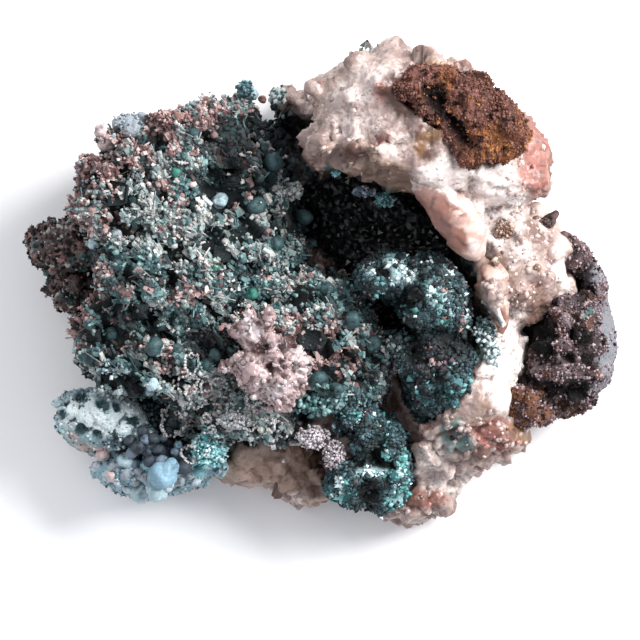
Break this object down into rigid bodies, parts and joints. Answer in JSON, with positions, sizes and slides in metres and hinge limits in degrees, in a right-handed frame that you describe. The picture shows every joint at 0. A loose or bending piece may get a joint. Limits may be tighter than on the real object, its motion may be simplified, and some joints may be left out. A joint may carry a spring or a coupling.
{
  "type": "native copper specimen on calcite",
  "caption": "Cabinet mineral specimen: a crust of branching copper with malachite on a pale calcite matrix with a deep vug, cut flat behind so that it lies on a shelf.",
  "frame": {"origin": "on the flat back, under the middle of the specimen", "axes": "+X along the longest way across the show face, +Y up the show face as it is displayed, +Z out of the show face"},
  "size_m": [0.1186, 0.0954, 0.0532],
  "materials": {
    "calcite": "translucent, satin, cream to pink with brown stains",
    "goethite": "matt, porous, umber to chestnut",
    "grey_goethite": "matt, rough, grey-purple brown",
    "copper": "matt, tarnished pink copper with dark oxide",
    "chrysocolla": "waxy, pale turquoise with dark green pits",
    "bright_malachite": "silky, bright teal green",
    "pink_calcite": "translucent, satin, pale pink",
    "malachite": "silky, dark teal balls",
    "dark_druse": "glassy, near black",
    "copper_crust": "matt grains of grey-white, teal and pink copper"
  },
  "bodies": {
    "root": {"calcite_matrix": "calcite", "goethite_cap": "goethite", "goethite_mass": "grey_goethite", "copper_spur": "copper", "chrysocolla_lobe": "chrysocolla", "malachite_drip": "bright_malachite", "pink_calcite": "pink_calcite", "malachite_knob": "malachite", "vug_druse": "dark_druse", "copper_crust": "copper_crust"}
  },
  "joints": []
}
